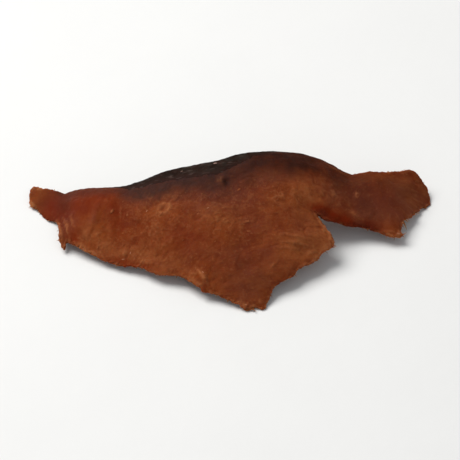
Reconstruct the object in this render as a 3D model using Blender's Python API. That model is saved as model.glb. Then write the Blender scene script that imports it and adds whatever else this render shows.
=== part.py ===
"""A slice of dried salmon, curled as it dried, lying on a flat surface.

The slice is one thin solid. Its back edge (+Y) is the skin of the fish, smooth and rolled
a little downwards. Every other edge is torn flesh: a blunt lobe at the left end (-X), a
long lower edge that runs down to the front tip, a raised point beside a torn notch, and a
narrow waist that opens into a ragged tail at the right end (+X). The slice leans forward
and arches from end to end, so it rests on the front tip, the lobe and the tail.

Lengths in this file are millimetres until the finished mesh is scaled to metres.
"""

from math import cos, exp, pi, radians, sin, sqrt, tan

import bmesh
import bpy
from mathutils import Vector, noise
from mathutils.geometry import delaunay_2d_cdt, intersect_point_line

MM = 0.001

# Thickness of the slice, and how it thins out towards a torn edge. The rim bulges outwards
# by a share of half its thickness.
BODY_THICKNESS = 2.5
TORN_THICKNESS = 0.9
SKIN_THICKNESS = 2.0
TAPER_WIDTH = 5.0
THICKNESS_DRIFT, DRIFT_LENGTH, DRIFT_SEED = 0.35, 9.0, 8.1
RIM_BULGE = 0.55

# A place counts as beside the skin while no torn edge is nearer by more than this.
SKIN_SLACK = 0.5

# How the slice leans forward and arches from end to end.
LEAN = radians(20.0)
FRONT_Y = -20.0
ARCH_X = 2.0
ARCH = 0.0060

# The roll of the flesh over to the skin.
ROLL_WIDTH = 6.5
ROLL_DROP = 1.9

# Swells and hollows of the surface: centre, half widths along X and Y, height.
SWELLS = {
    "rim of the lobe curling up": ((-43.6, 14.0), (1.4, 5.0), 0.7),
    "lobe drooping": ((-40.6, 13.0), (2.6, 5.0), -1.0),
    "crease behind the lobe": ((-36.8, 11.0), (1.3, 6.0), -0.9),
    "bulge of the blunt end": ((-30.0, 4.0), (3.6, 9.0), 1.3),
    "heel standing clear": ((-36.0, 0.5), (3.4, 4.0), 2.3),
    "hollow after the bulge": ((-22.0, 4.0), (3.4, 9.0), -0.7),
    "swell of the face": ((-9.0, 1.0), (7.0, 8.0), 0.8),
    "hollow of the face": ((2.5, -6.0), (5.0, 6.0), -0.6),
    "hollow along the front": ((-12.0, -9.0), (6.0, 3.0), -0.5),
    "front tip bending down": ((5.5, -20.5), (5.0, 3.2), -0.9),
    "shoulder of the point": ((12.5, 2.0), (5.0, 7.0), 0.9),
    "point curling up": ((22.5, -2.5), (3.6, 4.0), 1.4),
    "dip of the waist": ((24.5, 7.0), (3.4, 8.0), -1.2),
    "fibres drawn out to the point": ((13.0, -4.6), (4.2, 0.9), 0.5),
    "flap by the front edge": ((-6.2, -12.0), (0.9, 2.0), 0.5),
    "swell of the tail": ((34.0, 9.0), (4.5, 6.0), 0.8),
    "corner of the tail curling up": ((38.0, 2.5), (3.4, 3.4), 1.5),
    "end of the tail drooping": ((43.0, 14.5), (3.0, 5.0), -0.9),
}

# Uneven drying: slow waves of the whole sheet, and shallow flakes on each cut face. The flakes
# are wider than deep, bend, have finer ones between them and fade towards the rim.
WAVE_LENGTH, WAVE_HEIGHT, WAVE_SEED = 11.0, 0.55, 1.7
FLAKE_LENGTH, FLAKE_HEIGHT = 3.4, 0.26
FLAKE_SQUASH = 0.8
FLAKE_BEND, FLAKE_BEND_SCALE = 0.5, 0.6
FINER_FLAKES, FINER_FLAKES_SCALE = 0.6, 1.9
FLAKE_FADE = 1.5
TOP_SEED, UNDERSIDE_SEED = 3.0, 41.0

# Torn fibres along the outline: how many swings they make in a millimetre, how much finer the
# fine ones are, and the share of the coarse and of the fine ones.
FRAY_SCALE, FRAY_FINER = 0.42, 2.3
FRAY_COARSE_SHARE, FRAY_FINE_SHARE = 1.3, 0.9
FRAY_SEED_STEP = 7.3

# Mesh: distance between points along the outline and across the faces, how far the points of
# the faces keep clear of the outline, and how many rows of points the rim has between the two
# faces. Each span of the outline is sampled before it is stepped along.
RIM_STEP = 0.75
FACE_STEP = 1.02
RIM_CLEARANCE = 0.62 * FACE_STEP
RIM_ROWS = 3
SPAN_SAMPLES = 24
SAME_POINT = 1e-5

# How far the resting points are pressed flat.
SINK = 0.3

# The outline in plan, edge by edge, anticlockwise seen from above. Each edge is a smooth
# curve through its points, and neighbouring edges meet in a corner. The second value is
# how far its torn fibres stand in and out.
EDGES = {
    "round the lobe": (0.15, ((-36, 14.5), (-38.5, 15.5), (-42.5, 16.5), (-44, 16.5), (-44, 13),
                              (-42, 11.5), (-40.5, 9), (-38, 7.5))),
    "heel": (0.12, ((-38, 7.5), (-37, 3.5), (-37, 1), (-36, -2))),
    "lower edge, left": (0.2, ((-36, -2), (-35.5, -0.5), (-33, -2), (-31, -3.5), (-27.5, -5.5),
                               (-24.5, -7), (-19.5, -8.5), (-15, -11), (-10.5, -12), (-7, -14.5),
                               (-6, -16))),
    "lower edge, right": (0.2, ((-6, -16), (-3.5, -16.5), (0.5, -18), (3.5, -20))),
    "front tip": (0.12, ((3.5, -20), (5, -19), (7, -19.5))),
    "right flank": (0.2, ((7, -19.5), (7.5, -17.5), (8.5, -15.5), (10, -14), (13, -12),
                          (14, -10.5), (17, -8.5), (18.5, -7), (20.5, -5), (22, -4))),
    "torn side of the notch": (0.1, ((22, -4), (21, -2), (19.5, 0), (17.5, 3))),
    "underside of the waist": (0.15, ((17.5, 3), (20, 2), (22.5, 2), (25.5, 2.5), (29, 2.5),
                                      (31, 2), (33, 1.5), (35.5, 1), (37, 1.5))),
    "end of the tail": (0.25, ((37, 1.5), (36.5, 2.5), (37.5, 5.5), (39, 7.5), (40, 9.5),
                               (41.5, 11.5), (43.5, 13.5), (43.5, 15.5), (42.5, 18), (41, 19.5),
                               (39, 19.5))),
    "top of the tail": (0.15, ((39, 19.5), (36, 17.5), (32.5, 16), (28.5, 15.5), (26, 15.5))),
    "skin": (0.08, ((26, 15.5), (24, 16), (21, 17), (16.5, 17.5), (11, 17.5), (6, 17), (1, 16), (-3.5, 14.5),
                    (-9.5, 13.5), (-14.5, 13), (-19.5, 12), (-24.5, 11.5), (-29, 12), (-33.5, 13.5),
                    (-36, 14.5))),
}


def smooth_curve(points, step):
    """Points about a step apart on the Catmull-Rom curve through the given points."""
    knots = [Vector(p) for p in points]
    knots = [2 * knots[0] - knots[1], *knots, 2 * knots[-1] - knots[-2]]
    fine = []
    for a, b, c, d in zip(knots, knots[1:], knots[2:], knots[3:]):
        for i in range(SPAN_SAMPLES):
            t = i / SPAN_SAMPLES
            pull = (a * -0.5 + b * 1.5 - c * 1.5 + d * 0.5) * t + (a - b * 2.5 + c * 2 - d * 0.5)
            fine.append((pull * t + (c - a) * 0.5) * t + b)
    fine.append(knots[-2])
    reach = [0.0]
    for p, q in zip(fine, fine[1:]):
        reach.append(reach[-1] + (q - p).length)
    count = max(2, round(reach[-1] / step))
    curve, at = [], 0
    for i in range(count + 1):
        along = reach[-1] * i / count
        while at < len(fine) - 2 and reach[at + 1] < along:
            at += 1
        share = (along - reach[at]) / (reach[at + 1] - reach[at])
        curve.append(fine[at].lerp(fine[at + 1], share))
    return curve


def torn(curve, depth, seed):
    """The curve with its inner points moved in and out, as torn fibres leave it."""
    rough = [curve[0]]
    for i in range(1, len(curve) - 1):
        across = (curve[i + 1] - curve[i - 1]).orthogonal().normalized()
        place = Vector((curve[i].x * FRAY_SCALE, curve[i].y * FRAY_SCALE, seed))
        fray = noise.noise(place) * FRAY_COARSE_SHARE
        fray += noise.noise(place * FRAY_FINER) * FRAY_FINE_SHARE
        rough.append(curve[i] + across * depth * fray)
    return rough + [curve[-1]]


def outline():
    """All rim points in order, and those of the skin edge."""
    rim, skin = [], []
    for seed, (name, (depth, points)) in enumerate(EDGES.items()):
        edge = torn(smooth_curve(points, RIM_STEP), depth, seed * FRAY_SEED_STEP)
        if name == "skin":
            skin = edge
        rim.extend(edge[:-1])
    return rim, skin


class Plan:
    """The outline, with the distances that the thickness and the roll depend on."""

    def __init__(self):
        self.rim, self.skin = outline()

    @staticmethod
    def nearest(point, line, closed):
        """Distance from a point to a polyline."""
        ends = line[1:] + ([line[0]] if closed else [])
        distances = []
        for a, b in zip(line, ends):
            foot, share = intersect_point_line(point, a, b)
            foot = a if share < 0 else b if share > 1 else foot.to_2d()
            distances.append((point - foot).length)
        return min(distances)

    def outward(self, point):
        """Direction out of the slice at a rim point."""
        at = min(range(len(self.rim)), key=lambda i: (self.rim[i] - point).length_squared)
        ahead = self.rim[(at + 1) % len(self.rim)] - self.rim[at - 1]
        return Vector((ahead.y, -ahead.x, 0)).normalized()

    def holds(self, point):
        """Whether a point lies inside the outline."""
        inside = False
        for a, b in zip(self.rim, self.rim[1:] + self.rim[:1]):
            if (a.y > point.y) != (b.y > point.y):
                crossing = a.x + (point.y - a.y) / (b.y - a.y) * (b.x - a.x)
                inside ^= crossing > point.x
        return inside


def ease(share):
    """0 to 1 with flat ends."""
    share = min(1.0, max(0.0, share))
    return share * share * (3 - 2 * share)


def mid_height(point, to_skin):
    """Height of the middle of the slice over its plan."""
    height = tan(LEAN) * (point.y - FRONT_Y) - ARCH * (point.x - ARCH_X) ** 2
    height -= ROLL_DROP * max(0.0, 1 - to_skin / ROLL_WIDTH) ** 2
    for (cx, cy), (wide, deep), rise in SWELLS.values():
        height += rise * exp(-0.5 * (((point.x - cx) / wide) ** 2 + ((point.y - cy) / deep) ** 2))
    wave = Vector((point.x / WAVE_LENGTH, point.y / WAVE_LENGTH, WAVE_SEED))
    return height + WAVE_HEIGHT * noise.noise(wave)


def thickness(point, to_rim, to_skin):
    """Thickness of the slice: thin where it was torn, nearly full at the skin."""
    place = Vector((point.x / DRIFT_LENGTH, point.y / DRIFT_LENGTH, DRIFT_SEED))
    drift = THICKNESS_DRIFT * noise.noise(place)
    at_skin = ease(1 - to_skin / TAPER_WIDTH) if to_skin <= to_rim + SKIN_SLACK else 0.0
    edge = TORN_THICKNESS + (SKIN_THICKNESS - TORN_THICKNESS) * at_skin
    return edge + (BODY_THICKNESS + drift - edge) * ease(to_rim / TAPER_WIDTH)


def flakes(point, seed, to_rim):
    """Shallow relief of the muscle flakes on a cut face, fading at the rim."""
    place = Vector((point.x / FLAKE_LENGTH, point.y / FLAKE_LENGTH * FLAKE_SQUASH, seed))
    slow = place * FLAKE_BEND_SCALE
    bend = Vector((noise.noise(slow), noise.noise(slow + Vector((9, 4, 0))), 0))
    bent = place + FLAKE_BEND * bend
    relief = 1 - 2 * abs(noise.noise(bent)) + FINER_FLAKES * noise.noise(bent * FINER_FLAKES_SCALE)
    return FLAKE_HEIGHT * relief * ease(to_rim / FLAKE_FADE)


def flat_mesh(plan):
    """The plan as one sheet of even triangles."""
    points = list(plan.rim)
    count = len(points)
    rows = FACE_STEP * sqrt(3) / 2
    low = Vector((min(p.x for p in points), min(p.y for p in points)))
    high = Vector((max(p.x for p in points), max(p.y for p in points)))
    for row in range(int((high.y - low.y) / rows) + 1):
        for column in range(int((high.x - low.x) / FACE_STEP) + 1):
            x = low.x + (column + 0.5 * (row % 2)) * FACE_STEP
            point = Vector((x, low.y + row * rows))
            if plan.holds(point) and plan.nearest(point, plan.rim, True) > RIM_CLEARANCE:
                points.append(point)
    ring = [(i, (i + 1) % count) for i in range(count)]
    verts, _, faces, *_ = delaunay_2d_cdt(points, ring, [], 1, SAME_POINT)
    bm = bmesh.new()
    made = [bm.verts.new((v.x, v.y, 0)) for v in verts]
    for face in faces:
        bm.faces.new([made[i] for i in face])
    return bm


def solid_mesh(plan):
    """The sheet raised into the slice, with both cut faces and a rounded rim."""
    bm = flat_mesh(plan)
    raised = bmesh.ops.extrude_face_region(bm, geom=bm.faces[:], use_keep_orig=True)
    top = [g for g in raised["geom"] if isinstance(g, bmesh.types.BMVert)]
    bmesh.ops.translate(bm, verts=top, vec=(0, 0, 1))
    walls = [e for e in bm.edges if e.verts[0].co.z != e.verts[1].co.z]
    bmesh.ops.subdivide_edges(bm, edges=walls, cuts=RIM_ROWS, use_grid_fill=True)
    bmesh.ops.recalc_face_normals(bm, faces=bm.faces)
    for vert in bm.verts:
        turn = (vert.co.z - 0.5) * pi
        point = vert.co.to_2d()
        to_rim = plan.nearest(point, plan.rim, True)
        to_skin = plan.nearest(point, plan.skin, False)
        half = thickness(point, to_rim, to_skin) / 2
        height = mid_height(point, to_skin) + half * sin(turn)
        if vert.co.z == 1.0:
            height += flakes(point, TOP_SEED, to_rim)
        elif vert.co.z == 0.0:
            height += flakes(point, UNDERSIDE_SEED, to_rim)
        else:
            vert.co += plan.outward(point) * RIM_BULGE * half * cos(turn)
        vert.co.z = height
    return bm


def centre_of_mass(bm):
    """Centre of mass of a closed mesh, from the tetrahedra between its triangles and the origin."""
    total, moment = 0.0, Vector()
    for face in bm.faces:
        corners = [v.co for v in face.verts]
        for b, c in zip(corners[1:], corners[2:]):
            part = corners[0].dot(b.cross(c))
            total += part
            moment += part * (corners[0] + b + c)
    return moment / (4 * total)


def settle(bm):
    """Turns the slice onto the three points that it comes to rest on, and flattens those."""
    hull = bmesh.new()
    for vert in bm.verts:
        hull.verts.new(vert.co)
    bmesh.ops.convex_hull(hull, input=hull.verts)
    middle = centre_of_mass(bm)
    rests = []
    for face in hull.faces:
        corners = sorted((v.co for v in face.verts), key=tuple)
        normal = (corners[1] - corners[0]).cross(corners[2] - corners[0]).normalized()
        if normal.dot(middle - corners[0]) > 0:
            normal.negate()
        foot = middle - normal * normal.dot(middle - corners[0])
        turns = [
            (b - a).cross(foot - a).dot(normal) > 0
            for a, b in zip(corners, corners[1:] + corners[:1])
        ]
        if len(set(turns)) == 1:
            rests.append(normal)
    hull.free()
    rest = min(rests, key=lambda way: way.z)
    turn = rest.rotation_difference(Vector((0, 0, -1))).to_matrix()
    bmesh.ops.rotate(bm, verts=bm.verts, matrix=turn)
    floor = min(v.co.z for v in bm.verts) + SINK
    for vert in bm.verts:
        vert.co.z = max(0.0, vert.co.z - floor)


def centre(bm):
    """Puts the middle of the slice's box over the origin."""
    xs = [v.co.x for v in bm.verts]
    ys = [v.co.y for v in bm.verts]
    away = Vector(((min(xs) + max(xs)) / 2, (min(ys) + max(ys)) / 2, 0))
    bmesh.ops.translate(bm, verts=bm.verts, vec=-away)


def flesh_material():
    """Dried salmon flesh: reddish brown, slightly glossy."""
    material = bpy.data.materials.new("dried_flesh")
    material.use_nodes = True
    surface = material.node_tree.nodes["Principled BSDF"]
    surface.inputs["Base Color"].default_value = (0.19, 0.042, 0.014, 1)
    surface.inputs["Roughness"].default_value = 0.45
    surface.inputs["Metallic"].default_value = 0.0
    return material


def jerky_slice():
    """The slice as one named object, in metres."""
    bm = solid_mesh(Plan())
    settle(bm)
    centre(bm)
    bmesh.ops.scale(bm, verts=bm.verts, vec=(MM, MM, MM))
    mesh = bpy.data.meshes.new("jerky_slice")
    bm.to_mesh(mesh)
    bm.free()
    mesh.materials.append(flesh_material())
    mesh.shade_smooth()
    made = bpy.data.objects.new("jerky_slice", mesh)
    bpy.context.scene.collection.objects.link(made)
    return made


def main():
    for old in list(bpy.data.objects):
        bpy.data.objects.remove(old)
    jerky_slice()


main()
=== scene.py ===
"""Dresses a slice of dried salmon: torn flesh, its band of skin, frayed fibres and pale peels.

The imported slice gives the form. Each operator below makes one piece of it, or the stage it
lies on. Shapes are worked out in millimetres and scaled to metres as they are finished.
"""

from cmath import exp as complex_exp
from math import cos, exp, hypot, pi, radians, sin
from random import Random

import bmesh
import bpy
from bpy.props import FloatProperty, FloatVectorProperty, IntProperty, PointerProperty
from mathutils import Matrix, Vector, noise
from mathutils.kdtree import KDTree


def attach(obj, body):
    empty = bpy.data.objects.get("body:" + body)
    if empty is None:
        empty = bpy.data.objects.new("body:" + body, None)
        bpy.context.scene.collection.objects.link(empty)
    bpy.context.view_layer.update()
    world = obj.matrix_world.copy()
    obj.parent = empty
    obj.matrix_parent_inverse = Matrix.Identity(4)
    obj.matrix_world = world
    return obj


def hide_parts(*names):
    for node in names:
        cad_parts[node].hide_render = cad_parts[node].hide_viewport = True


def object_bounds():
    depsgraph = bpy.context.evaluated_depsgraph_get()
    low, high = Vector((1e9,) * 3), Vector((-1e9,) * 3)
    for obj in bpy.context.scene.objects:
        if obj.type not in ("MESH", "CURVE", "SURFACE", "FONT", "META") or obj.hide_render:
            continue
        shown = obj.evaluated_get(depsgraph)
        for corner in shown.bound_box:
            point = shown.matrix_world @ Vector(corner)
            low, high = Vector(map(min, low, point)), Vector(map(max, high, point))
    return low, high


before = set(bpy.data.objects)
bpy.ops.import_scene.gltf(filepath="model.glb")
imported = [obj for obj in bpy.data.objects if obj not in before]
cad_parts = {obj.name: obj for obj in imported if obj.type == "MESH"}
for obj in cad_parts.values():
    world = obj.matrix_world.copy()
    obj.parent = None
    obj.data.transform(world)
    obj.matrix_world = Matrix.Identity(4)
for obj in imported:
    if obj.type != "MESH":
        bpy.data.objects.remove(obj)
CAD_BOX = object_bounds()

bl_info = {
    "name": "Dried Salmon Slice",
    "version": (1, 0, 0),
    "blender": (4, 5, 0),
    "location": "View3D > Sidebar > Jerky",
    "description": "Makes the flesh, skin, fibres and peels of a slice of dried salmon",
    "category": "Add Mesh",
}

MM = 0.001
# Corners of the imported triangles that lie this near, in millimetres, are one place.
WELD = 0.002
BODY = "root"
NODE = "jerky_slice"
FLESH = "dried_flesh"
SKIN = "skin_band"
FRAY = "frayed_fibres"
PEELS = "pale_peels"

# Soft-edged zones of the flesh, by what changes in them. Each is a centre, half widths along
# and across, a turn in degrees and a strength.
ZONES = {
    # Painted shade: creases, the notch, the pit, under the waist, the left of the heel and other
    # slopes turned from the light.
    "dark": {
        "underside of the waist": ((25.6, 2.2), (4.2, 0.7), -8, 0.30),
        "pit in the skin": ((-0.9, 8.1), (0.55, 0.55), 0, 1.0),
        "heel, left": ((-36.6, -0.2), (1.0, 2.6), 6, 0.45),
        "top of the tail": ((32.5, 13.6), (5.0, 1.8), 6, 0.3),
        "waist": ((28.0, 8.8), (3.4, 3.4), 0, 0.28),
        "tail beside the waist": ((29.4, 5.4), (1.8, 2.6), 0, 0.2),
        "front": ((3.0, -13.2), (3.4, 2.2), 0, 0.16),
        "crease behind the lobe": ((-36.4, 11.2), (1.3, 3.0), 8, 0.35),
        "lobe": ((-41.0, 12.8), (3.0, 3.0), 0, 0.12),
        "behind the shoulder, right": ((16.0, 10.8), (2.0, 1.5), 0, 0.22),
        "shoulder": ((10.4, 4.6), (2.6, 2.0), 0, 0.14),
        "waist, top": ((23.4, 10.2), (1.5, 1.9), 0, 0.22),
        "notch": ((19.8, 3.0), (1.2, 0.7), -10, 0.45),
        "bulge, left": ((-32.2, 5.4), (1.5, 3.0), 0, 0.09),
        "left of the middle": ((-19.4, -1.0), (2.6, 3.2), 0, 0.08),
        "under the waist, right": ((30.0, 2.6), (2.2, 0.9), -8, 0.3),
    },
    # Painted shade in the crease behind the lobe and on the left of the bulge, which turn from the
    # light; painted sheen on the tail; the flesh's own purple tone elsewhere.
    "purple": {
        "crease behind the lobe": ((-37.6, 10.4), (2.0, 4.0), 10, 0.95),
        "upper end of the bulge": ((-32.0, 11.4), (4.5, 1.2), -4, 0.7),
        "left of the bulge": ((-34.8, 4.6), (1.4, 4.2), 6, 0.75),
        "tail": ((33.0, 7.8), (4.4, 3.2), 10, 0.7),
        "waist": ((27.0, 9.6), (2.8, 3.4), 0, 0.4),
        "band under the skin": ((-3.0, 6.2), (5.5, 1.8), 6, 0.65),
        "behind the shoulder": ((7.0, 8.8), (4.0, 1.2), 0, 0.3),
        "below the band": ((-1.0, 3.6), (5.0, 1.3), -4, 0.35),
        "middle": ((4.5, -1.5), (3.0, 3.4), 0, 0.45),
    },
    # The flesh's own orange red, with painted light on the lit underside of the waist and painted
    # shade in the notch and the crease behind the lobe.
    "red": {
        "lobe": ((-39.4, 11.4), (1.7, 2.2), 0, 0.6),
        "crease behind the lobe": ((-37.2, 9.2), (1.3, 2.4), 10, 0.35),
        "bulge, left": ((-32.2, 5.8), (1.4, 3.8), 0, 0.2),
        "heel": ((-34.2, -0.7), (1.1, 1.6), -20, 0.75),
        "left of the middle": ((-19.4, -1.0), (2.6, 3.0), 0, 0.25),
        "lower left rim": ((-21.6, -7.6), (5.0, 0.7), -16, 0.7),
        "head of the bulge": ((-29.5, 7.6), (3.8, 2.6), 0, 0.6),
        "notch": ((20.8, 2.9), (2.1, 1.1), -16, 1.0),
        "corner of the notch": ((19.4, 3.0), (0.7, 0.7), 0, 1.0),
        "underside of the waist": ((25.0, 2.9), (4.6, 1.1), -6, 1.0),
        "under the waist, right": ((30.0, 2.4), (2.4, 0.8), -8, 0.6),
        "band before the front": ((-8.0, -4.2), (5.0, 1.9), 0, 0.45),
        "right of the bulge": ((-24.2, 2.0), (1.6, 5.0), 8, 0.45),
    },
    # Thin flesh, with painted light coming through it, and painted light on slopes turned to the
    # light, beside the notch and on the flank.
    "amber": {
        "heel": ((-32.4, -0.9), (2.2, 1.6), -24, 1.0),
        "left of the bulge": ((-31.4, 0.8), (1.8, 2.0), 0, 0.8),
        "foot of the bulge": ((-27.0, -2.4), (3.6, 2.4), -20, 0.6),
        "bulge": ((-27.2, 4.2), (1.8, 4.4), 6, 0.55),
        "lobe": ((-42.2, 14.0), (1.2, 2.2), 0, 0.7),
        "corner of the tail": ((34.4, 2.4), (2.4, 1.1), -8, 0.6),
        "point": ((20.4, -3.0), (2.4, 3.0), 20, 1.0),
        "front tip": ((4.4, -18.4), (3.0, 1.2), 0, 0.4),
        "left of the front": ((-13.4, -7.2), (3.8, 3.2), -20, 0.6),
        "beside the notch": ((18.2, 6.4), (2.4, 3.4), 12, 0.8),
        "flank": ((13.5, -8.2), (4.6, 2.0), 36, 0.6),
        "fibres to the point": ((13.0, -5.4), (4.2, 1.6), -8, 0.7),
        "shoulder": ((10.6, 4.6), (5.0, 3.0), 0, 0.5),
        "middle": ((-1.5, -1.4), (3.6, 3.2), 0, 0.75),
        "left of the middle": ((-15.5, 3.4), (4.0, 2.8), 0, 0.75),
        "below the point": ((16.4, -6.6), (3.0, 1.2), 30, 0.8),
        "front edge": ((-5.5, -13.0), (4.5, 1.2), -22, 0.7),
        "top of the tail": ((33.0, 14.6), (5.0, 1.0), 8, 0.5),
    },
    # Painted sheen: a milky pink veil over the flanks, below the skin, the waist and the tail,
    # where they face the light.
    "rose": {
        "flank": ((10.0, -9.5), (4.5, 2.4), 30, 0.25),
        "front": ((1.5, -12.8), (3.6, 3.0), 0, 0.3),
        "left of the front": ((-13.8, -9.8), (1.6, 1.6), 0, 0.4),
        "above the front edge": ((-7.6, -4.8), (2.6, 1.6), -20, 0.25),
        "below the middle": ((0.0, -8.4), (3.4, 1.4), 0, 0.3),
        "tip": ((4.2, -17.0), (2.4, 1.4), 0, 0.4),
        "bulge, left streak": ((-29.6, 3.6), (0.8, 4.4), -18, 0.45),
        "left, below the band": ((-16.5, 5.4), (5.5, 1.6), 0, 0.4),
        "middle": ((-1.5, 1.6), (4.0, 2.6), 0, 0.4),
        "end of the tail": ((38.6, 11.0), (3.0, 3.4), 0, 0.9),
        "beside the point": ((16.5, -1.8), (3.0, 2.8), 0, 0.5),
        "under the skin, left": ((-18.0, 7.6), (4.0, 1.4), 6, 0.5),
        "under the skin, right": ((-1.5, 6.2), (5.5, 2.4), 6, 0.75),
        "behind the shoulder": ((11.0, 9.8), (5.0, 1.4), -4, 0.6),
        "waist": ((21.6, 8.4), (2.6, 2.6), -20, 0.7),
        "waist, low": ((30.0, 5.8), (3.0, 1.8), 0, 0.5),
        "low in the tail": ((33.0, 4.9), (3.6, 1.3), 4, 0.6),
        "upper end of the bulge": ((-28.5, 9.6), (3.4, 1.0), 0, 0.35),
    },
    "grainy": {
        "left of the middle": ((-17.2, 0.6), (5.2, 6.4), 0, 0.8),
        "middle": ((-1.3, -1.6), (3.8, 3.4), 0, 1.0),
        "shoulder": ((10.2, 5.0), (4.4, 2.4), 0, 0.9),
        "lower left edge": ((-24.0, -4.4), (6.0, 2.2), -18, 1.0),
        "front tip": ((4.2, -18.4), (3.4, 1.2), 0, 1.0),
        "front edge": ((-7.0, -13.0), (3.2, 1.8), -20, 0.8),
        "waist": ((23.8, 8.8), (4.0, 3.6), 0, 0.5),
        "point": ((19.0, -4.4), (3.2, 2.2), 0, 0.5),
        "below the skin": ((-7.0, 5.6), (7.5, 1.6), 4, 0.5),
    },
    # Dried grains and thin ends, with painted light on the point, beside the notch, on the flank
    # and at the end of the tail.
    "tan": {
        "left end of the lobe": ((-43.0, 13.6), (1.2, 2.6), 8, 0.3),
        "left of the bulge": ((-31.0, -0.2), (1.6, 1.3), 0, 0.55),
        "lower left": ((-17.2, -4.8), (2.4, 1.8), 0, 0.3),
        "low in the bulge": ((-24.6, -3.4), (3.2, 2.0), -16, 0.4),
        "front tip, right": ((6.4, -14.6), (1.6, 2.2), -20, 0.4),
        "grain, left": ((-15.4, -4.6), (2.6, 1.8), 0, 0.35),
        "right of the middle": ((8.6, -1.0), (1.8, 2.2), 0, 0.4),
        "below the flank": ((12.3, -10.2), (2.4, 1.2), 38, 0.3),
        "end of the tail": ((39.2, 12.8), (2.4, 2.6), 0, 0.55),
        "point": ((20.4, -3.0), (2.0, 3.2), 22, 1.0),
        "beside the notch": ((17.0, 5.2), (3.0, 3.0), 18, 1.0),
        "flank": ((15.6, -6.4), (3.8, 1.6), 30, 0.9),
        "fibres to the point": ((14.0, -5.2), (3.2, 1.2), -4, 0.6),
        "middle": ((-2.4, -1.4), (2.8, 2.4), 0, 0.5),
        "left of the middle": ((-5.2, 0.2), (1.6, 3.4), 0, 0.35),
        "low in the tail": ((32.4, 4.2), (3.0, 1.5), 0, 0.25),
        "ring": ((-14.4, 3.0), (2.0, 1.7), 0, 0.55),
        "flap": ((-5.6, -13.3), (0.45, 2.0), 32, 0.3),
        "lower left edge": ((-22.8, -5.4), (4.6, 1.4), -20, 0.8),
        "left of the front": ((-13.6, -9.8), (3.2, 1.6), -20, 1.0),
    },
    "smooth": {
        "tail": ((35.0, 9.0), (6.0, 4.6), 0, 0.9),
        "bulge": ((-29.5, 4.0), (4.2, 6.0), 0, 0.9),
        "lobe": ((-40.5, 12.5), (3.0, 3.0), 0, 0.9),
        "flank": ((9.0, -9.5), (5.0, 3.5), 30, 0.5),
    },
    # Raised dry lips along torn edges, pale partly as a painted rim highlight.
    "lip": {
        "left end of the lobe": ((-44.0, 14.2), (1.3, 2.6), 0, 0.8),
        "top of the lobe": ((-42.3, 16.6), (1.6, 0.7), 0, 0.8),
        "side of the notch": ((20.4, -0.4), (1.3, 3.2), 22, 1.0),
        "point": ((21.8, -4.2), (1.6, 1.8), 0, 1.0),
        "right flank": ((17.0, -8.4), (3.4, 1.0), 38, 0.45),
        "corner of the tail": ((36.0, 1.2), (2.0, 0.7), -4, 0.8),
        "end of the tail, low": ((39.5, 7.5), (2.0, 1.6), 45, 0.4),
        "end of the tail": ((43.3, 14.0), (1.2, 3.4), 20, 0.35),
        "where the skin ends": ((21.5, 15.8), (4.2, 1.1), -8, 0.9),
        "heel": ((-33.0, -2.6), (2.6, 1.0), -25, 0.6),
        "heel, left": ((-37.0, 2.5), (0.9, 4.0), 8, 0.6),
        "lower left edge": ((-27.0, -5.0), (4.0, 1.2), -26, 0.4),
        "left of the front": ((-13.5, -9.8), (3.6, 1.0), -15, 0.5),
        "front edge": ((-6.0, -14.0), (4.5, 1.4), -35, 0.4),
        "front tip": ((3.5, -18.8), (2.4, 0.8), -14, 0.6),
    },
}
# Each layer wavers by a noise of its own.
ZONE_SEEDS = {layer: 11.0 * place for place, layer in enumerate(ZONES)}
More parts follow.
